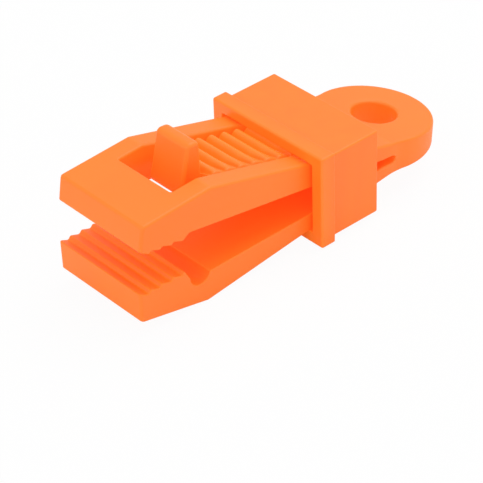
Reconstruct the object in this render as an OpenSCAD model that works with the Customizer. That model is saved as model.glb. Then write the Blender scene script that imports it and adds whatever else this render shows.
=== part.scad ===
// Tarp clip with a sliding collar.
// A springy moulded body has a round eye with a rope hole at one end and two toothed jaws at the
// other. A square collar slides along both arms. Pushed towards the jaws, it wedges them shut.
// A ribbed tongue in a window of the upper arm keeps the collar from creeping back, and a thumb
// tab at the tongue's free end presses it down, clear of the collar's pawl.
//
// Frame: the origin is the centre of the rope hole. +X runs along the clip's mid-plane from the
// eye to the jaws, +Z is up along the hole, and Y runs across the clip. Rest is the open clip.
// The body is one moulding on the real clip. It is divided here where it bends.

/* [Eye] */
// Radius of the rope hole
hole_r = 4.5; // [3.5:0.25:5.5]
// Radius of the round end of the eye
eye_r = 12; // [11:0.25:13]
// How far the round end's centre lies in front of the hole's centre
eye_lead = 0.6; // [0:0.1:1.2]
// Thickness of the eye at the hole
eye_t = 5.8; // [5:0.1:6.4]
// Solid length between the hole and the slot that parts the two arms
slot_wall = 1.25; // [1:0.05:2]
// Height of the slot at its round end
slot_t = 2; // [1.6:0.1:2.4]

/* [Arms] */
// Width of both arms
arm_w = 23; // [20:0.5:24]
// Distance from the hole's centre to the front of the jaws
body_len = 68.4; // [66:0.4:76]
// Distance from the slot's round end forward to the bending axes of the arms
hinge_lead = 1.85; // [1.6:0.05:2.2]
// Height of the outer faces above and below the mid-plane at the bending axes
root_h = 3.56; // [3.4:0.02:3.8]
// Thickness of each arm where it bends
root_t = 2.7; // [2.4:0.1:2.9]
// Length of the nose in front of the outer kink
nose_len = 16.1; // [14:0.1:18]
// Height of the outer kink from the mid-plane
kink_h = 11.95; // [11:0.05:13]
// Height of the nose's outer front edge from the mid-plane
tip_h = 9.9; // [9:0.1:11]
// How far that outer edge lies behind the lip
tip_back = 0.5; // [0:0.1:1]
// Radius of the upright front corners of the jaws
corner_r = 0.7; // [0.5:0.1:2.5]

/* [Teeth] */
// Number of teeth on each jaw
tooth_n = 4; // [3:1:4]
// Distance between teeth
tooth_pitch = 2.57; // [2.2:0.01:2.8]
// Depth of the teeth
tooth_h = 0.55; // [0.3:0.05:0.7]
// Length of a tooth's steep face
tooth_run = 0.5; // [0.3:0.05:0.8]
// Distance from the lip back to the first tooth
tooth_back = 2.05; // [1.6:0.05:2.6]
// Height of the first tooth's tip from the mid-plane
bite_front_h = 3.85; // [3.5:0.05:4.2]
// Height of the last tooth's tip from the mid-plane
bite_rear_h = 3.3; // [3:0.05:3.6]
// Height of the upper lip's underside above the mid-plane
upper_lip_h = 4.9; // [4.6:0.1:5.4]
// Depth of the lower lip's top below the mid-plane
lower_lip_h = 3.8; // [3.4:0.1:4.2]

/* [Inner faces] */
// Length of the ramp behind the upper teeth
step_run = 1.55; // [1.2:0.05:2]
// Height of that ramp
step_rise = 1.16; // [0.8:0.02:1.4]
// Distance from the hole to the waist of the lower arm, where its inner face turns
waist_x = 28; // [25:0.5:31]
// Depth of the inner face below the mid-plane at the waist
waist_h = 3.75; // [3.4:0.05:4.1]
// Depth of the inner face below the mid-plane at the groove
heel_h = 5.75; // [5.4:0.05:6.1]
// Radius of the round groove behind the lower teeth
groove_r = 2.35; // [1.8:0.05:2.6]
// Length of the ramp from the last lower tooth down to the groove
groove_run = 1.45; // [1:0.05:1.8]
// Depth of the groove's centre below the mid-plane
groove_h = 5.35; // [5:0.05:5.6]

/* [Window and tongue] */
// Width of the window in the upper arm
window_w = 14.4; // [13:0.2:15]
// Distance from the lip back to the window's front wall
window_back = 10.6; // [10:0.1:12]
// Gap between the tongue and each side of the window
tongue_gap = 0.4; // [0.3:0.05:0.6]
// Distance from the hole to the tongue's bending axis
tongue_root_x = 21.5; // [20.8:0.1:22]
// Height of that axis above the mid-plane
tongue_root_h = 4; // [3.9:0.05:4.1]
// Thickness of the tongue at its root
tongue_root_t = 2.6; // [2.2:0.1:2.8]
// Distance between the ribs
rib_pitch = 3.2; // [2.9:0.02:3.3]
// Distance from the tongue's root to the crest of the first rib
rib_lead = 2.5; // [2.4:0.05:3]
// Height of the ribs
rib_h = 1.9; // [0.8:0.05:2]
// Length of a rib's steep front face
rib_run = 1; // [0.7:0.05:1.2]
// Length of the flat on a rib's crest
rib_land = 0.4; // [0.2:0.05:0.6]
// Depth of the first rib's crest under the arm's outer face
rib_sink_rear = 0.25; // [0.2:0.05:0.8]
// Depth of the last rib's crest under the arm's outer face
rib_sink_front = 0.6; // [0.4:0.05:1.2]

/* [Thumb tab] */
// Width of the tab
tab_w = 8.8; // [7:0.1:10]
// Gap between the tab's toe and the window's front wall
toe_gap = 4.4; // [4.2:0.05:5.2]
// Least distance from the last rib's crest forward to the tab
tab_lead = 1.65; // [1.5:0.05:2]
// Height of the tab's top above the mid-plane
tab_h = 16.8; // [15:0.1:18]
// Thickness of the tab at its top
tab_top_t = 2.9; // [2.4:0.1:3.2]
// How far the tab's rear face leans forward at the top
tab_lean = 0.65; // [0.4:0.05:0.9]
// Thickness of the tab where its front face turns
tab_mid_t = 4.5; // [4:0.1:4.7]
// Height of that turn above the mid-plane
tab_mid_h = 10.6; // [10:0.1:11.2]
// Thickness of the tab at its toe
tab_toe_t = 5.32; // [4.8:0.02:5.6]
// Height of the toe above the mid-plane
tab_toe_h = 6.6; // [6.4:0.1:7.2]
// Radius along the top edges of the tab
tab_r = 1.2; // [0.4:0.1:1.2]

/* [Collar] */
// Length of the collar
collar_len = 15.2; // [13:0.2:15.6]
// Distance from the hole to the middle of the collar's front at rest
collar_x = 28.06; // [27.6:0.02:28.6]
// Angle by which the loose collar hangs nose down at rest
collar_tilt_angle = 4.2; // [0:0.2:5]
// Thickness of the collar's top wall
collar_wall = 1.25; // [1:0.05:1.6]
// Thickness of the collar's bottom wall
floor_wall = 1.5; // [1:0.05:2]
// Thickness of the collar's side walls
side_wall = 1.65; // [1.2:0.05:2]
// Length of the raised rim at the collar's front
rim_len = 3.44; // [3:0.04:4]
// How far the rim stands out from the collar
rim_out = 0.82; // [0.5:0.02:1.2]
// Length of the pawl under the collar's top wall
pawl_len = 1.6; // [1.2:0.1:2]
// Depth of the pawl
pawl_h = 0.85; // [0.6:0.05:1.05]
// Gap between each end of the pawl and the side of the window under it
pawl_side_gap = 1; // [0.9:0.1:2]
// Distance from the collar's front back to the pawl
pawl_back = 1.5; // [1.3:0.1:2]

/* [Clearances] */
// Gap round each bending axis
hinge_gap = 0.12; // [0.08:0.01:0.15]
// Gap between the collar's front edges and the arms' outer faces at rest
collar_gap = 0.35; // [0.3:0.01:0.5]
// Gap between the collar's side walls and the widest part of the body
side_gap = 0.5; // [0.3:0.05:0.8]

/* [Hidden] */
$fn = 96;
plastic = [1, 0.46, 0.15];
deep_plastic = [1, 0.4, 0.1];
rim_plastic = [0.98, 0.43, 0.14];
// How far cutting shapes run past what they cut
over = 1;
// Flats along a rounded front corner
corner_n = 8;
// How far a flat face runs inside the round that it leaves, so that the two cross cleanly
round_step = 0.02;

// The slot between the arms, and the two bending axes
slot_x = hole_r + slot_wall;
slot_r = slot_t / 2;
hinge_x = slot_x + hinge_lead;
root_r = root_t / 2;

// The straight outer faces of the arms, from the bending axes to the kinks
kink_x = body_len - nose_len;
outer_slope = (kink_h - root_h) / (kink_x - hinge_x);
outer_angle = atan(outer_slope);
hinge_h = root_h - root_r / cos(outer_angle);
upper_hinge = [hinge_x, hinge_h];
lower_hinge = [hinge_x, -hinge_h];
function outer_h(x) = root_h + outer_slope * (x - hinge_x);

// The bite, from the first tooth to the last
tooth_x = body_len - tooth_back;
last_tooth_x = tooth_x - (tooth_n - 1) * tooth_pitch;
function bite_h(x) =
    bite_rear_h + (bite_front_h - bite_rear_h) * (x - last_tooth_x) / (tooth_x - last_tooth_x);

// The groove behind the lower teeth
groove_x = last_tooth_x - tooth_run - groove_run - groove_r;

// The window, and the tongue in it
window_x = body_len - window_back;
tongue_w = window_w - 2 * tongue_gap;
tongue_root_r = tongue_root_t / 2;
tongue_hinge = [tongue_root_x, tongue_root_h];
toe_x = window_x - toe_gap;
tab_x = toe_x - tab_toe_t;
rib_x = tongue_root_x + rib_lead;
rib_n = floor((tab_x - tab_lead - rib_x) / rib_pitch) + 1;
last_rib_x = rib_x + (rib_n - 1) * rib_pitch;
function rib_sink(x) =
    rib_sink_rear + (rib_sink_front - rib_sink_rear) * (x - rib_x) / (last_rib_x - rib_x);
function crest_h(x) = outer_h(x) - rib_sink(x);
function valley_h(x) = crest_h(x) - rib_h;
tongue_under_h = tongue_root_h - tongue_root_r;
function under_h(x) =
    tongue_under_h + (tab_toe_h - tongue_under_h) * (x - tongue_root_x) / (toe_x - tongue_root_x);

// The collar: its opening clears both arms by the same gap at its front edges, although it tilts
collar_reach = outer_h(collar_x) + collar_gap;
collar_z = collar_reach * outer_slope * tan(collar_tilt_angle);
opening_h = 2 * collar_reach / cos(collar_tilt_angle);
opening_w = max(2 * eye_r, arm_w) + 2 * side_gap;
collar_h = opening_h + collar_wall + floor_wall;
collar_w = opening_w + 2 * side_wall;
pawl_w = window_w - 2 * pawl_side_gap;

// A flat side view becomes a solid across the clip, and a flat plan becomes an upright one
module across(w) {
    rotate([90, 0, 0]) linear_extrude(height = w, center = true) children();
}

module upright(h) {
    linear_extrude(height = h, center = true) children();
}

// Points along an arc
function arc(centre, r, start, end, n) = [
    for (i = [0 : n]) let (angle = start + (end - start) * i / n)
        centre + r * [cos(angle), sin(angle)]
];

// Plan of an arm, with its two front corners rounded
module arm_plan() {
    corner_x = body_len - corner_r;
    corner_y = arm_w / 2 - corner_r;
    polygon(concat(
        [[0, arm_w / 2], [0, -arm_w / 2]],
        arc([corner_x, -corner_y], corner_r, -90, 0, corner_n),
        arc([corner_x, corner_y], corner_r, 0, 90, corner_n)
    ));
}

// A round bar across the clip, about a point of the side view
module bar(point, r, w) {
    translate([point.x, 0, point.y]) rotate([90, 0, 0]) cylinder(r = r, h = w, center = true);
}

// The corner of an outline where a straight face leaves a round root. The face runs on to the
// given point and passes over the root when side is 1, or under it when side is -1.
function leaving(centre, r, point, side) = let (
    away = point - centre,
    angle = atan2(away.y, away.x) - side * asin(r / norm(away))
) centre + side * (r - round_step) * [-sin(angle), cos(angle)];

module eye_plate() {
    // The faces of the eye open towards the arms like a shallow wedge
    front_x = hinge_x;
    rear_x = eye_lead - eye_r - over;
    face_slope = (root_h - eye_t / 2) / hinge_x;
    rear_h = eye_t / 2 + face_slope * rear_x;
    cut_w = 2 * (eye_r + over);
    color(plastic) difference() {
        intersection() {
            across(cut_w) polygon([
                [rear_x, rear_h], [front_x, root_h], [front_x, -root_h], [rear_x, -rear_h]
            ]);
            upright(2 * (root_h + over)) union() {
                translate([eye_lead, 0]) circle(r = eye_r);
                translate([eye_lead, -arm_w / 2]) square([front_x - eye_lead, arm_w]);
            }
        }
        cylinder(r = hole_r, h = 2 * (root_h + over), center = true);
        // Seats for the round roots of both arms
        bar(upper_hinge, root_r + hinge_gap, cut_w);
        bar(lower_hinge, root_r + hinge_gap, cut_w);
        // The slot's round end, and the slot in front of it
        bar([slot_x + slot_r, 0], slot_r, cut_w);
        translate([slot_x + slot_r, -cut_w / 2, -slot_r]) cube([hinge_lead, cut_w, slot_t]);
    }
}

// Side view of the upper jaw, without its window
module upper_outline() {
    tooth_points = [
        for (i = [0 : tooth_n - 1]) let (x = tooth_x - i * tooth_pitch) each [
            [x, bite_h(x)],
            if (i < tooth_n - 1) [x - tooth_run, bite_h(x - tooth_run) + tooth_h]
        ]
    ];
    kink = [kink_x, kink_h];
    step = [last_tooth_x - step_run, bite_rear_h + step_rise];
    polygon(concat(
        [
            upper_hinge, leaving(upper_hinge, root_r, kink, 1), kink,
            [body_len - tip_back, tip_h], [body_len, upper_lip_h]
        ],
        tooth_points,
        [step, leaving(upper_hinge, root_r, step, -1)]
    ));
}

module upper_jaw() {
    color(plastic) difference() {
        intersection() {
            union() {
                across(arm_w) upper_outline();
                bar(upper_hinge, root_r, arm_w);
            }
            upright(2 * (kink_h + over)) arm_plan();
        }
        // The window, from the tongue's root to its front wall
        translate([tongue_root_x, -window_w / 2, 0])
            cube([window_x - tongue_root_x, window_w, kink_h + over]);
        bar(tongue_hinge, tongue_root_r + hinge_gap, window_w);
    }
}

// Side view of the lower jaw, without its groove
module lower_outline() {
    heel_x = groove_x - groove_r;
    tooth_points = [
        for (i = [0 : tooth_n - 1]) let (x = tooth_x - i * tooth_pitch) each [
            [x, -bite_h(x) - tooth_h],
            [x - tooth_run, -bite_h(x - tooth_run)]
        ]
    ];
    kink = [kink_x, -kink_h];
    waist = [waist_x, -waist_h];
    polygon(concat(
        [
            lower_hinge, leaving(lower_hinge, root_r, kink, -1), kink,
            [body_len - tip_back, -tip_h], [body_len, -lower_lip_h]
        ],
        tooth_points,
        [
            [groove_x + groove_r, -groove_h], [groove_x, -groove_h],
            [heel_x, -heel_h], waist, leaving(lower_hinge, root_r, waist, 1)
        ]
    ));
}

module lower_jaw() {
    color(plastic) difference() {
        intersection() {
            union() {
                across(arm_w) lower_outline();
                bar(lower_hinge, root_r, arm_w);
            }
            upright(2 * (kink_h + over)) arm_plan();
        }
        bar([groove_x, -groove_h], groove_r, arm_w + 2 * over);
    }
}

module latch_tongue() {
    rib_points = [
        for (i = [0 : rib_n - 1]) let (x = rib_x + i * rib_pitch, foot = x - rib_pitch + rib_run) each [
            [foot, valley_h(foot)], [x - rib_land, crest_h(x - rib_land)], [x, crest_h(x)]
        ]
    ];
    last_foot = last_rib_x + rib_run;
    underside = [tab_x, under_h(tab_x)];
    color(deep_plastic) union() {
        bar(tongue_hinge, tongue_root_r, tongue_w);
        across(tongue_w) polygon(concat(
            [tongue_hinge],
            rib_points,
            [
                [last_foot, valley_h(last_foot)], [tab_x, valley_h(tab_x)], underside,
                leaving(tongue_hinge, tongue_root_r, underside, -1)
            ]
        ));
    }
}

module thumb_tab() {
    top_x = tab_x + tab_lean;
    front_x = top_x + tab_top_t;
    foot = [tab_x, valley_h(tab_x)];
    middle = [tab_x + tab_mid_t, tab_mid_h];
    rear_round = [top_x + tab_r, tab_h - tab_r];
    front_round = [front_x - tab_r, tab_h - tab_r];
    color(deep_plastic) union() {
        across(tab_w) polygon([
            [tab_x, under_h(tab_x)], foot, leaving(rear_round, tab_r, foot, -1),
            rear_round, rear_round + [0, tab_r], front_round + [0, tab_r], front_round,
            leaving(front_round, tab_r, middle, 1), middle, [toe_x, tab_toe_h]
        ]);
        bar(rear_round, tab_r, tab_w);
        bar(front_round, tab_r, tab_w);
    }
}

// Places what is drawn from the middle of the collar's front
module at_collar() {
    translate([collar_x, 0, collar_z]) rotate([0, collar_tilt_angle, 0]) children();
}

module slide_collar() {
    rim_w = collar_w + 2 * rim_out;
    rim_h = collar_h + 2 * rim_out;
    floor_z = -opening_h / 2 - floor_wall;
    color(rim_plastic) at_collar() difference() {
        union() {
            translate([-collar_len, -collar_w / 2, floor_z])
                cube([collar_len, collar_w, collar_h]);
            translate([-rim_len, -rim_w / 2, floor_z - rim_out]) cube([rim_len, rim_w, rim_h]);
        }
        translate([-collar_len - over, -opening_w / 2, -opening_h / 2])
            cube([collar_len + 2 * over, opening_w, opening_h]);
    }
}

module collar_pawl() {
    root_z = opening_h / 2;
    color(rim_plastic) at_collar() across(pawl_w) polygon([
        [-pawl_back, root_z], [-pawl_back - pawl_len, root_z],
        [-pawl_back - pawl_len, root_z - pawl_h]
    ]);
}

eye_plate();
upper_jaw();
lower_jaw();
latch_tongue();
thumb_tab();
slide_collar();
collar_pawl();
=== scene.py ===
# %% [markdown]
# # A tarp clip with a sliding collar
#
# The clip is two orange mouldings. One is the springy body: a flat eye with a rope hole, and two
# arms that end in toothed jaws. The other is a square collar that slides over both arms and
# wedges the jaws shut. A ribbed tongue in the upper arm latches the collar.
#
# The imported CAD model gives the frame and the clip's outer sizes, and the finer sizes are written
# out below. This file dresses the model with meshes whose edges, ribs and corners are rounded as a
# mould leaves them.

# %% Load the frame
import math

import bmesh
import bpy
from mathutils import Matrix, Vector
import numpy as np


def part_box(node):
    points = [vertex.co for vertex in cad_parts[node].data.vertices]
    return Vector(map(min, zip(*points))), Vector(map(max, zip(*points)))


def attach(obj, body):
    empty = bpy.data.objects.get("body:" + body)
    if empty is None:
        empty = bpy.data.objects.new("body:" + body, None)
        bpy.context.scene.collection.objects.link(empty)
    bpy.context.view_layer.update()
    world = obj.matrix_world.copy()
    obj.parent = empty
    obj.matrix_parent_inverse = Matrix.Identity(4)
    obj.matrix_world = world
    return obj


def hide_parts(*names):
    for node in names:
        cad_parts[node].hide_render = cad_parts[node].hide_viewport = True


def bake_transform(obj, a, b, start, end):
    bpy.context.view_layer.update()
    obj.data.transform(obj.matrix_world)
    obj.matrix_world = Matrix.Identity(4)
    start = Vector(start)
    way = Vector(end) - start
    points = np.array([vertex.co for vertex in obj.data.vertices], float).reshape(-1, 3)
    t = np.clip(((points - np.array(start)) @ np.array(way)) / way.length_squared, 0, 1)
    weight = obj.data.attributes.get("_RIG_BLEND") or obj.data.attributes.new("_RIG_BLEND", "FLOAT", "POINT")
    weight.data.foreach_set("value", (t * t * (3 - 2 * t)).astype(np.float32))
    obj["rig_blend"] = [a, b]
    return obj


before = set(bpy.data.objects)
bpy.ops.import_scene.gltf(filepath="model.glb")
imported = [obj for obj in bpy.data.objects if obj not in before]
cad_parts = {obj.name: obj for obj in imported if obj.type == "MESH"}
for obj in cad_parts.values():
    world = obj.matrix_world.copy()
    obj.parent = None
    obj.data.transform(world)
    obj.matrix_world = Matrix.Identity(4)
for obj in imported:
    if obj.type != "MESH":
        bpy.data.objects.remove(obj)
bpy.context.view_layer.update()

# %% [markdown]
# ## Units
#
# Blender works in metres, but a clip is drawn in millimetres. The clip's sizes below are all
# millimetres, and one factor turns them into metres when a mesh is made. Angles are degrees.

# %% Millimetres
MM = 0.001


def box_mm(node):
    """The lowest and highest corner of a CAD node, in millimetres."""
    low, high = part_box(node)
    return low / MM, high / MM


eye_low, eye_high = box_mm("eye_plate")
tab_low, tab_high = box_mm("thumb_tab")
jaw_high = box_mm("upper_jaw")[1]
tongue_high = box_mm("latch_tongue")[1]
lip_x = jaw_high.x
kink_h = jaw_high.z
arm_half_w = jaw_high.y
eye_r = eye_high.y
eye_x = eye_low.x + eye_r
print("lip", round(lip_x, 2), "kink", round(kink_h, 2), "arm half", round(arm_half_w, 2))

# %% [markdown]
# ## The side view of the arms
#
# Seen from the side, each arm is a long wedge. Its outer face climbs from the eye to a kink and
# falls again along the nose. Its inner face carries the teeth. Both faces are the same all the
# way across, so each is just a height that depends on x, and a list of corners describes it.

# %% Sizes of the side view
hinge_x = 7.6
root_h = 3.56
kink_x = lip_x - 16.1
outer_slope = (kink_h - root_h) / (kink_x - hinge_x)
crease_x = 6.6
eye_half_t = 2.9
tip_h = 9.9
tip_back = 0.5
slot_end_x = 5.45
slot_r = 1.0
slot_front_x = hinge_x + 0.9
upper_slot_h = 0.6
behind_eye_x = eye_low.x - 1
corner_n = 8

tooth_n = 4
tooth_pitch = 2.57
tooth_depth = 0.55
lower_tooth_depth = 0.7
tooth_run = 0.5
tooth_x = lip_x - 2.05
last_tooth_x = tooth_x - (tooth_n - 1) * tooth_pitch
bite_front_h = 3.85
bite_rear_h = 3.3
upper_lip_h = 4.9
lower_lip_h = 3.8
step_run = 1.55
step_rise = 1.16
waist_x = 28.0
waist_h = 3.75
groove_r = 2.35
groove_run = 1.45
groove_h = 5.35
groove_start = 190
groove_end = 358
groove_n = 14
groove_x = last_tooth_x - tooth_run - groove_run - groove_r
print("last tooth", round(last_tooth_x, 2), "groove", round(groove_x, 2))

# %% Heights along the arms


def outer_h(x):
    """Height of an arm's outer face."""
    return root_h + outer_slope * (x - hinge_x)


def bite_h(x):
    """Distance of the teeth's tips from the mid-plane."""
    share = (x - last_tooth_x) / (tooth_x - last_tooth_x)
    return bite_rear_h + (bite_front_h - bite_rear_h) * share


def heights(corners):
    """A height that runs straight from corner to corner, as a function of x, and the corners' x."""
    corners = sorted(corners)

    def at(x):
        for (x0, z0), (x1, z1) in zip(corners, corners[1:]):
            if x <= x1:
                break
        return z0 + (z1 - z0) * (x - x0) / (x1 - x0)

    return at, [x for x, z in corners]


def arc(cx, cy, r, start, end, n):
    """Points along an arc, with its angles in degrees."""
    angles = [math.radians(start + (end - start) * i / n) for i in range(n + 1)]
    return [(cx + r * math.cos(a), cy + r * math.sin(a)) for a in angles]


# %% Corners of the outer and inner faces
slot_arc = [(x, abs(z)) for x, z in arc(slot_end_x + slot_r, 0, slot_r, 180, 90, corner_n)]
outer_corners = [
    (behind_eye_x, eye_half_t + (outer_h(crease_x) - eye_half_t) * behind_eye_x / crease_x),
    (crease_x, outer_h(crease_x)),
    (kink_x, kink_h),
    (lip_x, tip_h),
]
upper_slot = [(x, h * upper_slot_h / slot_r) for x, h in slot_arc]
upper_inner = [(behind_eye_x, 0), *upper_slot, (slot_front_x, upper_slot_h)]
upper_inner += [(last_tooth_x - step_run, bite_rear_h + step_rise)]
lower_inner = [(behind_eye_x, 0), *slot_arc, (slot_front_x, slot_r)]
lower_inner += [(waist_x, waist_h)]
groove_arc = arc(groove_x, -groove_h, groove_r, groove_start, groove_end, groove_n)
lower_inner += [(x, -z) for x, z in groove_arc]
for i in range(tooth_n):
    x = tooth_x - i * tooth_pitch
    upper_inner.append((x, bite_h(x)))
    if i < tooth_n - 1:
        upper_inner.append((x - tooth_run, bite_h(x - tooth_run) + tooth_depth))
    lower_inner.append((x, bite_h(x) + lower_tooth_depth))
    lower_inner.append((x - tooth_run, bite_h(x - tooth_run)))
upper_inner.append((lip_x, upper_lip_h))
lower_inner.append((lip_x, lower_lip_h))
print("corners of the inner faces", len(upper_inner), len(lower_inner))

# %% [markdown]
# ## The plan of the body
#
# From above, the body is a round eye that runs into two straight sides through a soft hollow
# curve, and it ends in a square front with rounded corners. The rope hole and the window are
# holes in that plan.

# %% Plan outline
hole_r = 4.5
corner_r = 0.7
neck_r = 12.0
round_n = 72
window_half_w = 7.15
window_rear_x = 21.2
window_front_x = lip_x - 10.6
window_corner_r = 0.35
window_corner_n = 4


def plan_outline():
    """The outline of the body from above, anticlockwise."""
    # The neck's curve touches both the round eye and the straight side
    neck_y = arm_half_w + neck_r
    reach = eye_r + neck_r
    neck_x = eye_x + math.sqrt(reach**2 - neck_y**2)
    meet = math.degrees(math.atan2(neck_y, neck_x - eye_x))
    right = arc(neck_x, -neck_y, neck_r, 180 - meet, 90, corner_n)
    front = arc(lip_x - corner_r, -arm_half_w + corner_r, corner_r, -90, 0, corner_n)
    half = right + front
    eye = arc(eye_x, 0, eye_r, meet, 360 - meet, round_n)
    return half + [(x, -y) for x, y in reversed(half)] + eye[1:-1]


def window_outline(low_x, high_x, half_w, r):
    """A rectangle with rounded corners, anticlockwise."""
    points = []
    for cx, cy, start in (
        (low_x + r, -half_w + r, 180),
        (high_x - r, -half_w + r, 270),
        (high_x - r, half_w - r, 0),
        (low_x + r, half_w - r, 90),
    ):
        points += arc(cx, cy, r, start, start + 90, window_corner_n)
    return points


rope_hole = arc(0, 0, hole_r, 0, 360, round_n)[:-1]
window = window_outline(window_rear_x, window_front_x, window_half_w, window_corner_r)
print("points round the plan", len(plan_outline()))

# %% [markdown]
# ## From plan and side view to a solid
#
# The plan is filled with faces and cut wherever a profile has a corner. A copy of it is lifted to
# the outer height, another to the inner height, and walls join the two along every outline.
# Where the eye is solid, the half body is left open at the mid-plane, so that two halves can be
# welded there.

# %% Flat sheet from the plan
cut_dist = 1e-5


def flat_sheet(outlines, cuts):
    """The filled plan, cut across at the given x."""
    bm = bmesh.new()
    edges = []
    for outline in outlines:
        verts = [bm.verts.new((x, y, 0)) for x, y in outline]
        edges += [bm.edges.new((a, b)) for a, b in zip(verts, verts[1:] + verts[:1])]
    bmesh.ops.triangle_fill(bm, use_beauty=True, edges=edges, normal=(0, 0, 1))
    for x in cuts:
        everything = bm.verts[:] + bm.edges[:] + bm.faces[:]
        bmesh.ops.bisect_plane(
            bm, geom=everything, dist=cut_dist, plane_co=(x, 0, 0), plane_no=(1, 0, 0)
        )
    for face in bm.faces:
        if face.normal.z < 0:
            face.normal_flip()
    return bm


# %% Solid between two heights
flat_angle = 0.4


def solid_between(sheet, outer, inner, open_below=None):
    """Faces at both heights with walls between. Faces behind open_below have no underside."""
    bm = bmesh.new()
    top = {v: bm.verts.new((v.co.x, v.co.y, outer(v.co.x))) for v in sheet.verts}
    under = {v: bm.verts.new((v.co.x, v.co.y, inner(v.co.x))) for v in sheet.verts}
    for face in sheet.faces:
        bm.faces.new([top[v] for v in face.verts])
        if open_below is None or face.calc_center_median().x > open_below:
            bm.faces.new([under[v] for v in reversed(face.verts)])
    for edge in sheet.edges:
        if len(edge.link_faces) == 1:
            loop = edge.link_loops[0]
            a, b = loop.vert, loop.link_loop_next.vert
            bm.faces.new([top[b], top[a], under[a], under[b]])
    loose = [v for v in bm.verts if not v.link_faces]
    bmesh.ops.delete(bm, geom=loose, context="VERTS")
    bmesh.ops.dissolve_limit(
        bm, angle_limit=math.radians(flat_angle), verts=bm.verts[:], edges=bm.edges[:]
    )
    bm.normal_update()
    return bm


# %% [markdown]
# ## Rounded edges
#
# A mould has no perfectly sharp edges, and light catching the small rounds is what makes plastic
# look moulded. Each edge gets a weight, and one bevel modifier rounds them all by their weights:
# wide on top of the body, fine on its teeth and its underside.
#
# Some places get a painted glow: colour that stands in for light coming through the plastic and
# lightens their shade. It lies on the rounded edges as a painted highlight, in the walls of the
# rope hole and the window, on the eye's sides, on the tongue, at the tab's foot and on the front
# of the collar's rim. Scattering below the surface left faults at the ends of the arms, so every
# point carries a number instead, its share of painted glow from 0 to 1, for the materials to read.
# The bevel knows which faces it made, and that marks the edges. The other places are marked by
# where they lie.

# %% Painted glow on every point
painted_glow_layer = "painted_glow"


def marked(bm, share_of):
    """The mesh with a share of painted glow, from 0 to 1, on every point."""
    layer = bm.verts.layers.float.new(painted_glow_layer)
    for v in bm.verts:
        v[layer] = share_of(v)
    return bm


def glowing(bm, share_at):
    """The mesh with more painted glow wherever share_at, a function of the place, asks for it."""
    layer = bm.verts.layers.float[painted_glow_layer]
    for v in bm.verts:
        v[layer] = max(v[layer], share_at(v.co))
    return bm


# %% Rounding by weight
widest_round = 1.0
edge_painted_glow = 0.3


def rounded(bm, radius_of, segments=3, painted_glow=edge_painted_glow):
    """The mesh with its edges rounded. radius_of gives each edge's radius, or zero."""
    layer = bm.edges.layers.float.new("bevel_weight_edge")
    for edge in bm.edges:
        edge[layer] = radius_of(edge) / widest_round
    mesh = bpy.data.meshes.new("rounding")
    bm.to_mesh(mesh)
    bm.free()
    # Two empty slots let the bevel number its own faces 1
    for _ in range(2):
        mesh.materials.append(None)
    obj = bpy.data.objects.new("rounding", mesh)
    bpy.context.scene.collection.objects.link(obj)
    bevel = obj.modifiers.new("round", "BEVEL")
    bevel.material = 1
    bevel.limit_method = "WEIGHT"
    bevel.width = widest_round
    bevel.segments = segments
    bevel.use_clamp_overlap = False
    bevel.miter_outer = "MITER_ARC"
    bevel.loop_slide = True
    depsgraph = bpy.context.evaluated_depsgraph_get()
    result = bmesh.new()
    result.from_mesh(obj.evaluated_get(depsgraph).to_mesh())
    obj.evaluated_get(depsgraph).to_mesh_clear()
    bpy.data.objects.remove(obj)
    bpy.data.meshes.remove(mesh)
    # The faces that the bevel made get a painted highlight through their share of painted glow
    marked(result, lambda v: painted_glow * all(face.material_index for face in v.link_faces))
    for face in result.faces:
        face.material_index = 0
    return result


# %% How sharp an edge is
flat_turn = 5


def edge_turn(edge):
    """The angle by which two faces turn at their edge, in degrees."""
    if len(edge.link_faces) != 2:
        return 0
    return math.degrees(edge.calc_face_angle(0))


# %% [markdown]
# ## Materials
#
# Both mouldings are the same kind of orange plastic: satin, dense in colour, with a very fine
# grain from the mould and faint streaks along the way the plastic flowed. A faint painted glow over
# the whole surface lightens the shaded hollows, and it turns stronger and yellower at the marked
# places. All that is one node group, so the body and the collar share it and only their values
# differ.

# %% Moulded grain and painted glow as a node group


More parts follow.
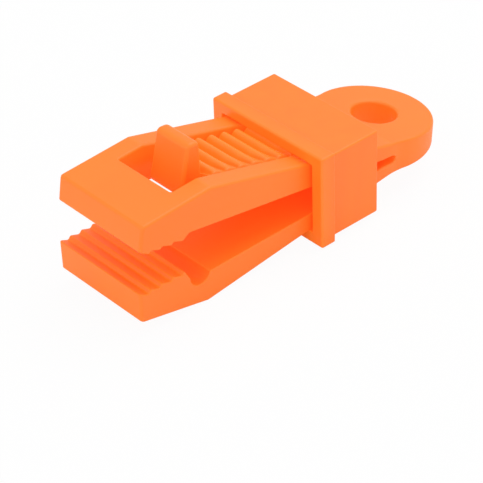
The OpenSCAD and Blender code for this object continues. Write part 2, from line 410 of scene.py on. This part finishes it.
def grain_and_glow_group():
    """Flow streaks in the colour, a painted glow that is stronger at the marked places, uneven gloss, and a
    fine surface grain.
    """
    group = bpy.data.node_groups.new("grain_and_painted_glow", "ShaderNodeTree")
    sockets = group.interface
    for name, kind, value in (
        ("Colour", "NodeSocketColor", (1.0, 0.25, 0.03, 1)),
        ("Flow Colour", "NodeSocketColor", (1.0, 0.3, 0.05, 1)),
        ("Painted Glow Base Colour", "NodeSocketColor", (1.0, 0.16, 0.01, 1)),
        ("Glow Colour", "NodeSocketColor", (1.0, 0.12, 0.02, 1)),
        ("Full Painted Glow Colour", "NodeSocketColor", (1.0, 0.68, 0.05, 1)),
        ("Flow Stretch", "NodeSocketVector", (1.0, 1.0, 1.0)),
        ("Flow Scale", "NodeSocketFloat", 60.0),
        ("Grain Scale", "NodeSocketFloat", 4000.0),
        ("Roughness", "NodeSocketFloat", 0.4),
        ("Roughness Spread", "NodeSocketFloat", 0.08),
    ):
        socket = sockets.new_socket(name, in_out="INPUT", socket_type=kind)
        socket.default_value = value
    sockets.new_socket("Colour", in_out="OUTPUT", socket_type="NodeSocketColor")
    sockets.new_socket("Glow", in_out="OUTPUT", socket_type="NodeSocketColor")
    sockets.new_socket("Roughness", in_out="OUTPUT", socket_type="NodeSocketFloat")
    sockets.new_socket("Height", in_out="OUTPUT", socket_type="NodeSocketFloat")
    nodes, links = group.nodes, group.links
    given = nodes.new("NodeGroupInput")
    result = nodes.new("NodeGroupOutput")
    place = nodes.new("ShaderNodeTexCoord")

    flow = nodes.new("ShaderNodeTexNoise")
    flow.inputs["Detail"].default_value = 3
    stretch = nodes.new("ShaderNodeVectorMath")
    stretch.operation = "MULTIPLY"
    links.new(place.outputs["Object"], stretch.inputs[0])
    links.new(given.outputs["Flow Stretch"], stretch.inputs[1])
    links.new(stretch.outputs["Vector"], flow.inputs["Vector"])
    links.new(given.outputs["Flow Scale"], flow.inputs["Scale"])
    mix = nodes.new("ShaderNodeMix")
    mix.data_type = "RGBA"
    links.new(flow.outputs["Fac"], mix.inputs["Factor"])
    links.new(given.outputs["Colour"], mix.inputs["A"])
    links.new(given.outputs["Flow Colour"], mix.inputs["B"])
    # Painted glow: the marked places get a darker orange colour and a strong yellow glow
    glow_share = nodes.new("ShaderNodeAttribute")
    glow_share.attribute_name = painted_glow_layer
    for without_glow, glow_end, out in (
        (mix.outputs["Result"], "Painted Glow Base Colour", "Colour"),
        (given.outputs["Glow Colour"], "Full Painted Glow Colour", "Glow"),
    ):
        by_painted_glow = nodes.new("ShaderNodeMix")
        by_painted_glow.data_type = "RGBA"
        links.new(glow_share.outputs["Fac"], by_painted_glow.inputs["Factor"])
        links.new(without_glow, by_painted_glow.inputs["A"])
        links.new(given.outputs[glow_end], by_painted_glow.inputs["B"])
        links.new(by_painted_glow.outputs["Result"], result.inputs[out])

    grain = nodes.new("ShaderNodeTexNoise")
    grain.inputs["Detail"].default_value = 2
    links.new(place.outputs["Object"], grain.inputs["Vector"])
    links.new(given.outputs["Grain Scale"], grain.inputs["Scale"])
    links.new(grain.outputs["Fac"], result.inputs["Height"])

    spread = nodes.new("ShaderNodeMath")
    spread.operation = "MULTIPLY"
    links.new(flow.outputs["Fac"], spread.inputs[0])
    links.new(given.outputs["Roughness Spread"], spread.inputs[1])
    total = nodes.new("ShaderNodeMath")
    total.operation = "ADD"
    links.new(given.outputs["Roughness"], total.inputs[0])
    links.new(spread.outputs["Value"], total.inputs[1])
    links.new(total.outputs["Value"], result.inputs["Roughness"])
    return group


grain_and_painted_glow = grain_and_glow_group()
print("node group", grain_and_painted_glow.name)

# %% Orange plastic of the body and of the collar


def plastic(name, colour, flow_colour, stretch, roughness):
    """A satin moulded plastic in one colour, with streaks drawn out along one way and a painted glow."""
    material = bpy.data.materials.new(name)
    material.use_nodes = True
    nodes, links = material.node_tree.nodes, material.node_tree.links
    shader = nodes["Principled BSDF"]
    skin = nodes.new("ShaderNodeGroup")
    skin.node_tree = grain_and_painted_glow
    skin.inputs["Colour"].default_value = colour
    skin.inputs["Flow Colour"].default_value = flow_colour
    skin.inputs["Flow Stretch"].default_value = stretch
    skin.inputs["Roughness"].default_value = roughness
    links.new(skin.outputs["Colour"], shader.inputs["Base Color"])
    links.new(skin.outputs["Roughness"], shader.inputs["Roughness"])
    links.new(skin.outputs["Glow"], shader.inputs["Emission Color"])
    bump = nodes.new("ShaderNodeBump")
    bump.inputs["Strength"].default_value = 0.08
    bump.inputs["Distance"].default_value = 0.02 * MM
    links.new(skin.outputs["Height"], bump.inputs["Height"])
    links.new(bump.outputs["Normal"], shader.inputs["Normal"])
    shader.inputs["IOR"].default_value = 1.49
    shader.inputs["Specular IOR Level"].default_value = 0.5
    # Painted glow: a faint light of its own on every face, stronger at the marked places
    shader.inputs["Emission Strength"].default_value = 0.17
    return material


body_plastic = plastic(
    "body_plastic", (1.0, 0.205, 0.01, 1), (1.0, 0.24, 0.014, 1),
    stretch=(0.4, 2.0, 2.0), roughness=0.42,
)
collar_plastic = plastic(
    "collar_plastic", (1.0, 0.195, 0.01, 1), (1.0, 0.235, 0.013, 1),
    stretch=(4.0, 4.0, 0.3), roughness=0.4,
)
material_of = {"body_plastic": body_plastic, "collar_plastic": collar_plastic}
print("materials", sorted(material_of))

# %% [markdown]
# ## Finishing a piece
#
# Every piece ends the same way: its mesh is turned into metres, shaded smooth with the flat faces
# kept flat and given its material, and the CAD nodes it stands for are hidden.

# %% From mesh to piece


def piece(name, bm, slot, *nodes, transform=None):
    """A finished object in the slot's material that stands for CAD nodes."""
    if transform is not None:
        bm.transform(transform)
    bm.transform(Matrix.Scale(MM, 4))
    bmesh.ops.recalc_face_normals(bm, faces=bm.faces[:])
    for face in bm.faces:
        face.smooth = True
    mesh = bpy.data.meshes.new(name)
    bm.to_mesh(mesh)
    bm.free()
    mesh.materials.append(material_of[slot])
    obj = bpy.data.objects.new(name, mesh)
    bpy.context.scene.collection.objects.link(obj)
    keep = obj.modifiers.new("flat_faces", "WEIGHTED_NORMAL")
    keep.mode = "FACE_AREA"
    keep.weight = 80
    keep.keep_sharp = True
    if nodes:
        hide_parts(*nodes)
    print(name, len(mesh.vertices), "vertices")
    return obj


# %% [markdown]
# ## The two half bodies
#
# Upper and lower half are built alike, each with its own half of the eye. The lower one is built
# facing up as well and mirrored afterwards. The front leans back a little towards the outer edge,
# which is done last by moving the points near the lip.

# %% Painted glow on the walls of the body
outside_h, outside_cuts = heights(outer_corners)
close_by = 0.1
hole_painted_glow = 0.5
window_painted_glow = 0.5
window_glow_h = 1.5
eye_painted_glow = 0.2
eye_edge_h = 0.3


def on_hole(point):
    """Whether a point of the body lies on the rope hole's wall."""
    return math.hypot(point.x, point.y) < hole_r + close_by


def on_window(point):
    """Whether a point of the body lies on the window's walls."""
    along = window_rear_x - close_by < point.x < window_front_x + close_by
    return along and abs(point.y) < window_half_w + close_by


def wall_painted_glow(point):
    """Painted glow that lightens the shade on the hole's wall, high in the window and on the eye's sides."""
    below = outside_h(point.x) - point.z
    if on_hole(point):
        return hole_painted_glow
    if on_window(point):
        return window_painted_glow if below < window_glow_h else 0.0
    return eye_painted_glow if point.x < crease_x and below > eye_edge_h else 0.0


# %% Rounds of the body
upper_round = 0.6
lower_round = 0.2
window_round = 0.55
hole_round = 0.6
inner_round = 0.25
tooth_round = 0.28
lip_round = 0.3
kink_round = 0.5
soft_turn = 25
outside_near = 0.2
same_x = 1e-4
across_len = 1


def body_radius(edge, outside_round):
    """How much an edge of a half body is rounded, by where it lies."""
    turn = edge_turn(edge)
    a, b = edge.verts[0].co, edge.verts[1].co
    middle = (a + b) / 2
    outside = abs(middle.z - outside_h(middle.x)) < outside_near
    if turn < flat_turn:
        return 0
    if turn < soft_turn:
        crosses = abs(a.x - b.x) < same_x and abs(a.y - b.y) > across_len
        return kink_round if crosses and outside else 0
    if not outside:
        if middle.x > tooth_x:
            return lip_round
        return tooth_round if middle.x > groove_x + groove_r else inner_round
    if on_hole(middle):
        return hole_round
    return window_round if on_window(middle) else outside_round


# %% Half bodies


def half_body(inner_corners, holes, outside_round):
    """Half of the body above the mid-plane, from the eye to the lip."""
    inner, inner_cuts = heights(inner_corners)
    cuts = [x for x in outside_cuts + inner_cuts if eye_low.x < x < lip_x]
    sheet = flat_sheet([plan_outline(), rope_hole, *holes], cuts)
    bm = solid_between(sheet, outside_h, inner, open_below=slot_end_x)
    sheet.free()
    bm = rounded(bm, lambda edge: body_radius(edge, outside_round))
    return glowing(bm, wall_painted_glow)


upper_half = half_body(upper_inner, [window], upper_round)
lower_half = half_body(lower_inner, [], lower_round)
print("half bodies", len(upper_half.faces), len(lower_half.faces), "faces")

# %% [markdown]
# ## Eye and arms
#
# The upper half stays whole. The lower one is cut across at the crease where the eye's face meets
# the arm, and its eye is welded under the upper half, so that only the lower arm is apart.

# %% Cutting, leaning and bending
bend_start_x = crease_x + 0.15
bend_end_x = hinge_x + 1.8
bend_cuts = 8
lean_run = 4.0


def cut_body(bm, x, keep_front):
    """The part of a mesh in front of or behind x, with the cut closed."""
    everything = bm.verts[:] + bm.edges[:] + bm.faces[:]
    cut = bmesh.ops.bisect_plane(
        bm, geom=everything, dist=cut_dist, plane_co=(x, 0, 0), plane_no=(1, 0, 0),
        clear_inner=keep_front, clear_outer=not keep_front,
    )
    rim = [e for e in cut["geom_cut"] if isinstance(e, bmesh.types.BMEdge)]
    bmesh.ops.edgenet_fill(bm, edges=rim)
    for edge in rim:
        edge.smooth = False
    return bm


def leaning(bm):
    """The front leans back by tip_back at its outer edge."""
    for v in bm.verts:
        near = max(0.0, min(1.0, (v.co.x - (lip_x - lean_run)) / lean_run))
        high = max(0.0, (abs(v.co.z) - upper_lip_h) / (tip_h - upper_lip_h))
        v.co.x -= tip_back * near * high
    return bm


def bending(bm):
    """Cuts across the arm's root, where it bends, and the leaning front."""
    for i in range(bend_cuts + 1):
        x = bend_start_x + (bend_end_x - bend_start_x) * i / bend_cuts
        everything = bm.verts[:] + bm.edges[:] + bm.faces[:]
        bmesh.ops.bisect_plane(
            bm, geom=everything, dist=cut_dist, plane_co=(x, 0, 0), plane_no=(1, 0, 0)
        )
    return leaning(bm)


# %% Eye, upper arm and lower arm
weld_dist = 1e-3
upside_down = Matrix.Scale(-1, 4, (0, 0, 1))
lower_eye = cut_body(lower_half.copy(), crease_x, keep_front=False)
lower_eye.transform(upside_down)
bmesh.ops.reverse_faces(lower_eye, faces=lower_eye.faces[:])
lower_eye_mesh = bpy.data.meshes.new("lower_eye")
lower_eye.to_mesh(lower_eye_mesh)
lower_eye.free()
upper_half.from_mesh(lower_eye_mesh)
bpy.data.meshes.remove(lower_eye_mesh)
bmesh.ops.remove_doubles(upper_half, verts=upper_half.verts[:], dist=weld_dist)

upper_piece = piece(
    "eye_and_upper_arm", bending(upper_half), "body_plastic", "eye_plate", "upper_jaw"
)
lower_piece = piece(
    "lower_arm", bending(cut_body(lower_half, crease_x, keep_front=True)),
    "body_plastic", "lower_jaw", transform=upside_down,
)
bend = [(x * MM, 0, 0) for x in (bend_start_x, bend_end_x)]
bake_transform(upper_piece, "eye", "upper_arm", start=bend[0], end=bend[1])
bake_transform(lower_piece, "eye", "lower_arm", start=bend[0], end=bend[1])

# %% [markdown]
# ## The ribbed tongue
#
# The collar's pawl rides over ribs like a row of fingers: round on top, steep in front, gentle
# behind, with rounded ends. Such a surface is easiest as a fine grid whose height comes from a
# formula: a quarter of an ellipse in front of each crest and a soft curve behind it, faded to
# nothing in a quarter round at the tongue's sides. The crests run straight across, and the
# valleys between them grow shallower towards one side, where the ribs look flatter.

# %% Sizes of the tongue and its ribs
tongue_root_x = 21.5
tongue_root_h = 4.0
tongue_root_t = 2.6
rib_n = 8
rib_pitch = 3.2
rib_x = tongue_root_x + 2.5
last_rib_x = rib_x + (rib_n - 1) * rib_pitch
rib_h = 1.9
rib_front = 1.0
rib_back_power = 1.7
rib_sink_rear = 0.1
rib_sink_front = 0.4
rib_end_r = 0.7
rib_painted_glow = 0.85
run_out_start_y = 2.0
run_out_end_y = 5.6
run_out_left = 0.35
rib_end_angles = range(0, 91, 11)
tongue_half_w = tongue_high.y
tongue_start_x = window_rear_x - 0.2
tongue_end_x = tongue_high.x
tongue_steps = 220
tongue_edge = 0.1
toe_x = tab_high.x
toe_h = 6.6
print("ribs from", round(rib_x, 2), "to", round(last_rib_x, 2))

# %% Heights along and across the tongue


def crest_h(x):
    """Height of the line along the ribs' crests."""
    share = (x - rib_x) / (last_rib_x - rib_x)
    return outer_h(x) - rib_sink_rear - (rib_sink_front - rib_sink_rear) * share


def rib_share(x):
    """How much of a rib stands at x, from 0 in a valley to 1 on a crest."""
    best = 0.0
    for i in range(rib_n):
        away = x - (rib_x + i * rib_pitch)
        if 0 <= away < rib_front:
            best = max(best, math.sqrt(1 - (away / rib_front) ** 2))
        elif rib_front - rib_pitch < away < 0:
            best = max(best, 1 - (-away / (rib_pitch - rib_front)) ** rib_back_power)
    return best


def rib_end(y):
    """1 across the tongue, falling to 0 in a quarter round at its sides."""
    past = (abs(y) - (tongue_half_w - tongue_edge - rib_end_r)) / rib_end_r
    if past <= 0:
        return 1.0
    return math.sqrt(max(0.0, 1 - past * past))


def valley_left(y):
    """How much of a valley's depth is left: all of it, but less and less towards one side."""
    past = (y - run_out_start_y) / (run_out_end_y - run_out_start_y)
    return 1 - (1 - run_out_left) * max(0.0, min(1.0, past))


def under_h(x):
    """Height of the tongue's flat underside."""
    low = tongue_root_h - tongue_root_t / 2
    return low + (toe_h - low) * (x - tongue_root_x) / (toe_x - tongue_root_x)


# %% Tongue surface


def tongue_mesh():
    """The tongue: a fine ribbed top over a flat underside."""
    run = tongue_end_x - tongue_start_x
    xs = [tongue_start_x + run * i / tongue_steps for i in range(tongue_steps + 1)]
    side = tongue_half_w
    inner = [side - tongue_edge - rib_end_r * math.cos(math.radians(a)) for a in rib_end_angles]
    ys = [-y for y in reversed(inner)] + [0.0, run_out_start_y, run_out_end_y] + inner
    bm = bmesh.new()
    rows = []
    for x in xs:
        base = crest_h(x) - rib_h
        valley = 1 - rib_share(x)
        rises = [rib_h * (1 - valley * valley_left(y)) * rib_end(y) for y in ys]
        top = [bm.verts.new((x, y, base + rise)) for y, rise in zip(ys, rises)]
        high, low = base - tongue_edge, under_h(x) + tongue_edge
        right = [bm.verts.new((x, side, z)) for z in (high, low)]
        under = [bm.verts.new((x, y, under_h(x))) for y in (side - tongue_edge, tongue_edge - side)]
        left = [bm.verts.new((x, -side, z)) for z in (low, high)]
        rows.append(top + right + under + left)
    for a, b in zip(rows, rows[1:]):
        for i in range(len(a)):
            j = (i + 1) % len(a)
            bm.faces.new((a[i], b[i], b[j], a[j]))
    bm.faces.new(rows[0])
    bm.faces.new(list(reversed(rows[-1])))
    # The ribs get a painted glow that lightens their shaded faces. It fades with the valleys towards one
    # side, which paints that side darker.
    return marked(bm, lambda v: rib_painted_glow * valley_left(v.co.y))


tongue_piece = piece("ribbed_tongue", tongue_mesh(), "body_plastic", "latch_tongue")
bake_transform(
    tongue_piece, "upper_arm", "tongue",
    start=((window_rear_x + 0.1) * MM, 0, 0), end=((tongue_root_x + 2) * MM, 0, 0),
)

# %% [markdown]
# ## The thumb tab
#
# The tab is a small plate that stands on the tongue's free end. Its front face turns once on the
# way down, its top is rounded, and it sinks a little into the tongue so that no gap shows.

# %% Sizes and rounds of the tab
tab_lean = 0.65
tab_top_t = 2.9
tab_mid_t = 4.5
tab_mid_h = 10.6
tab_foot_h = tab_mid_h - 1
tab_sunk = 0.4
tab_sunk_h = 0.3
tab_top_round = 1.1
tab_side_round = 0.8
tab_painted_glow = 0.35


def across(points, half_w):
    """A side view (x, z) made into a solid across the clip."""
    bm = bmesh.new()
    left = [bm.verts.new((x, -half_w, z)) for x, z in points]
    right = [bm.verts.new((x, half_w, z)) for x, z in points]
    bm.faces.new(left)
    bm.faces.new(list(reversed(right)))
    for i in range(len(points)):
        j = (i + 1) % len(points)
        bm.faces.new((left[j], left[i], right[i], right[j]))
    bmesh.ops.recalc_face_normals(bm, faces=bm.faces[:])
    return bm


def tab_radius(edge):
    """The two top edges across the tab are the roundest."""
    a, b = edge.verts[0].co, edge.verts[1].co
    if edge_turn(edge) < flat_turn:
        return 0
    on_top = min(a.z, b.z) > tab_high.z - close_by
    return tab_top_round if on_top and abs(a.y - b.y) > across_len else tab_side_round


# %% Tab
tab_outline = [
    (tab_low.x - tab_sunk, under_h(tab_low.x)),
    (tab_low.x - tab_sunk, crest_h(tab_low.x) - rib_h - tab_sunk_h),
    (tab_low.x, crest_h(tab_low.x) - rib_h),
    (tab_low.x + tab_lean, tab_high.z),
    (tab_low.x + tab_lean + tab_top_t, tab_high.z),
    (tab_low.x + tab_mid_t, tab_mid_h),
    (tab_high.x, toe_h),
]
tab_form = rounded(across(tab_outline, tab_high.y), tab_radius, segments=4)
# The tab's foot gets a painted glow that lightens the shade there
tab_form = glowing(tab_form, lambda point: tab_painted_glow if point.z < tab_foot_h else 0.0)
tab_piece = piece("thumb_plate", tab_form, "body_plastic", "thumb_tab")
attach(tab_piece, "tongue")

# %% [markdown]
# ## The collar
#
# The collar is a square sleeve with a raised rim at its front. It is a string of rectangles: from
# the inside edge at the back, out and along to the rim, over the rim, and in again. It hangs nose
# down by a few degrees, because it is loose on the open arms. Its opening is drawn a little
# tighter than in the CAD model, because the photograph shows hardly any gap.

# %% Sizes and place of the collar
collar_len = 15.2
collar_x = 28.06
collar_tilt = 4.2
collar_wall = 1.25
floor_wall = 1.5
side_wall = 1.65
rim_len = 3.44
rim_out = 0.82
opening_half_w = 12.5
collar_gap = 0.35
collar_fill = 0.25
collar_reach = outer_h(collar_x) + collar_gap
opening_half_h = collar_reach / math.cos(math.radians(collar_tilt))
collar_z = collar_reach * outer_slope * math.tan(math.radians(collar_tilt))
to_collar = Matrix.Translation((collar_x, 0, collar_z)) @ Matrix.Rotation(
    math.radians(collar_tilt), 4, "Y"
)
print("half height of the collar's opening", round(opening_half_h, 2))

# %% Sleeve and rim


def collar_mesh():
    """The sleeve and its rim, as rectangles joined from the inside out and back in."""
    outer_y, outer_z = opening_half_w + side_wall, opening_half_h + collar_wall
    inner_y, inner_z = opening_half_w - collar_fill, opening_half_h - collar_fill
    sag = floor_wall - collar_wall
    stations = [
        (-collar_len, inner_y, inner_z),
        (-collar_len, outer_y, outer_z),
        (-rim_len, outer_y, outer_z),
        (-rim_len, outer_y + rim_out, outer_z + rim_out),
        (0, outer_y + rim_out, outer_z + rim_out),
        (0, inner_y, inner_z),
    ]
    corners = ((1, 1), (-1, 1), (-1, -1), (1, -1))
    bm = bmesh.new()
    rings = []
    for x, y, z in stations:
        drop = sag if z > opening_half_h else 0
        rings.append([
            bm.verts.new((x, side * y, z if over > 0 else -z - drop)) for side, over in corners
        ])
    for a, b in zip(rings, rings[1:] + rings[:1]):
        for i in range(4):
            j = (i + 1) % 4
            bm.faces.new((a[i], a[j], b[j], b[i]))
    bmesh.ops.recalc_face_normals(bm, faces=bm.faces[:])
    return bm


# %% Collar
rim_round = 0.5
sleeve_round = 0.4
opening_round = 0.2
collar_edge_painted_glow = 0.6
rim_painted_glow = 0.4
rim_glow_len = 0.6


def collar_radius(edge):
    """The rim is the roundest, and the opening's edges are the sharpest."""
    if edge_turn(edge) < flat_turn:
        return 0
    middle = (edge.verts[0].co + edge.verts[1].co) / 2
    within_w = abs(middle.y) < opening_half_w + close_by
    if within_w and abs(middle.z) < opening_half_h + close_by:
        return opening_round
    on_rim = middle.x > -close_by or abs(middle.x + rim_len / 2) < close_by
    return rim_round if on_rim else sleeve_round


# The collar's rounded edges get a painted highlight, and the front of its rim a painted glow that lightens
# the shade on it
collar_form = rounded(collar_mesh(), collar_radius, painted_glow=collar_edge_painted_glow)
collar_form = glowing(
    collar_form, lambda point: rim_painted_glow if point.x > -rim_glow_len else 0.0
)
collar_piece = piece(
    "sliding_collar", collar_form, "collar_plastic", "slide_collar", transform=to_collar
)
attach(collar_piece, "collar")

# %% [markdown]
# ## The pawl
#
# A small wedge under the collar's top wall holds the collar where it was pushed. Its rear face is
# upright and catches on a rib's steep front, and its front face is a ramp that rides over the next
# rib. It hardly shows, so a side view made solid is enough, as for the tab, and it reaches a
# little into the wall above it so that no gap shows.

# %% Pawl
pawl_half_w = 6.2
pawl_len = 1.6
pawl_h = 0.85
pawl_back = 1.5
pawl_tip_len = 0.25
pawl_sunk = 0.3
pawl_round = 0.08
pawl_sharp_turn = 20
pawl_rear_x = -pawl_back - pawl_len
pawl_outline = [
    (-pawl_back, opening_half_h + pawl_sunk),
    (pawl_rear_x, opening_half_h + pawl_sunk),
    (pawl_rear_x, opening_half_h - pawl_h),
    (pawl_rear_x + pawl_tip_len, opening_half_h - pawl_h),
    (-pawl_back, opening_half_h),
]


def pawl_radius(edge):
    """A fine round on every real edge of the pawl."""
    return pawl_round if edge_turn(edge) > pawl_sharp_turn else 0


pawl_piece = piece(
    "pawl", rounded(across(pawl_outline, pawl_half_w), pawl_radius),
    "collar_plastic", "collar_pawl", transform=to_collar,
)
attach(pawl_piece, "collar")

# %% [markdown]
# ## Floor and light
#
# The clip lies on its lower kink and the collar's rim, so the floor is tilted in the clip's own
# frame. White surroundings light it evenly from all sides, which keeps the orange as bright in
# the hollows as outside and lets them turn redder, because light bounces there more often. Two
# soft lamps, one high on the eye's side and one lower in front of the jaws, set the faces apart a
# little.

# %% White ground
rest_tilt = 4.2
floor_h = -8.2
# In metres, unlike the clip's own sizes
floor_half = 3.0
seen_white = 0.95


def white_floor():
    """A ground that stays white to the camera and still takes a faint shadow of the clip."""
    material = bpy.data.materials.new("white_floor")
    material.use_nodes = True
    nodes, links = material.node_tree.nodes, material.node_tree.links
    shader = nodes["Principled BSDF"]
    shader.inputs["Base Color"].default_value = (0.9, 0.9, 0.9, 1)
    shader.inputs["Roughness"].default_value = 0.9
    glow = nodes.new("ShaderNodeEmission")
    glow.inputs["Strength"].default_value = 1.0
    path = nodes.new("ShaderNodeLightPath")
    seen = nodes.new("ShaderNodeMath")
    seen.operation = "MULTIPLY"
    seen.inputs[1].default_value = seen_white
    links.new(path.outputs["Is Camera Ray"], seen.inputs[0])
    mix = nodes.new("ShaderNodeMixShader")
    links.new(seen.outputs["Value"], mix.inputs["Fac"])
    links.new(shader.outputs["BSDF"], mix.inputs[1])
    links.new(glow.outputs["Emission"], mix.inputs[2])
    links.new(mix.outputs["Shader"], nodes["Material Output"].inputs["Surface"])
    return material


# %% Floor
floor_mesh = bpy.data.meshes.new("floor")
floor_mesh.from_pydata(
    [(sx * floor_half, sy * floor_half, 0) for sx, sy in ((-1, -1), (1, -1), (1, 1), (-1, 1))],
    [], [(0, 1, 2, 3)],
)
floor_mesh.materials.append(white_floor())
floor = bpy.data.objects.new("floor", floor_mesh)
bpy.context.scene.collection.objects.link(floor)
floor_up = Matrix.Rotation(math.radians(rest_tilt), 4, "Y")
floor.matrix_world = floor_up @ Matrix.Translation((0, 0, floor_h * MM))
print("floor tilted by", rest_tilt, "degrees")

# %% Light
world = bpy.data.worlds.new("white_room")
bpy.context.scene.world = world
world.use_nodes = True
world.node_tree.nodes["Background"].inputs["Color"].default_value = (1, 1, 1, 1)
world.node_tree.nodes["Background"].inputs["Strength"].default_value = 0.67
lamp_aim = Vector((0.03, 0, 0))


def soft_lamp(name, place, size, power):
    """A large soft lamp that looks at the clip, with its place and size in metres."""
    data = bpy.data.lights.new(name, "AREA")
    data.shape = "DISK"
    data.size = size
    data.energy = power
    lamp = bpy.data.objects.new(name, data)
    bpy.context.scene.collection.objects.link(lamp)
    lamp.location = place
    look = lamp_aim - Vector(place)
    lamp.rotation_euler = look.to_track_quat("-Z", "Y").to_euler()
    return lamp


over_clip = soft_lamp("over_clip", (-0.35, 0.0, 0.85), size=0.8, power=3.4)
before_jaws = soft_lamp("before_jaws", (0.65, 0.05, 0.3), size=0.4, power=0.65)
print("lamps", over_clip.name, before_jaws.name)

# %% [markdown]
# ## Camera
#
# The camera stands where the photograph was taken from. Its place, angles and lens are the ones
# with which the clip's corners and edges land where the photograph shows them. The angles are
# turned into three directions, which make up the camera's matrix.

# %% Camera
camera_place = Vector((265.81, 249.22, 210.75)) * MM
camera_azimuth = 47.072
camera_elevation = 33.305
camera_roll = 1.689
camera_lens = 160.8

azimuth, elevation, roll = (
    math.radians(a) for a in (camera_azimuth, camera_elevation, camera_roll)
)
back = Vector((
    math.cos(elevation) * math.cos(azimuth),
    math.cos(elevation) * math.sin(azimuth),
    math.sin(elevation),
))
level_right = Vector((-math.sin(azimuth), math.cos(azimuth), 0))
level_up = back.cross(level_right)
right = level_right * math.cos(roll) + level_up * math.sin(roll)
up = back.cross(right)
camera_turn = Matrix((right, up, back)).transposed().to_4x4()
camera_data = bpy.data.cameras.new("camera")
camera_data.lens = camera_lens
camera_data.sensor_width = 36
camera_data.clip_start = 0.01
camera = bpy.data.objects.new("camera", camera_data)
bpy.context.scene.collection.objects.link(camera)
camera.matrix_world = Matrix.Translation(camera_place) @ camera_turn
bpy.context.scene.camera = camera
bpy.context.scene.view_settings.view_transform = "Standard"
print("camera at", [round(v, 4) for v in camera.location])
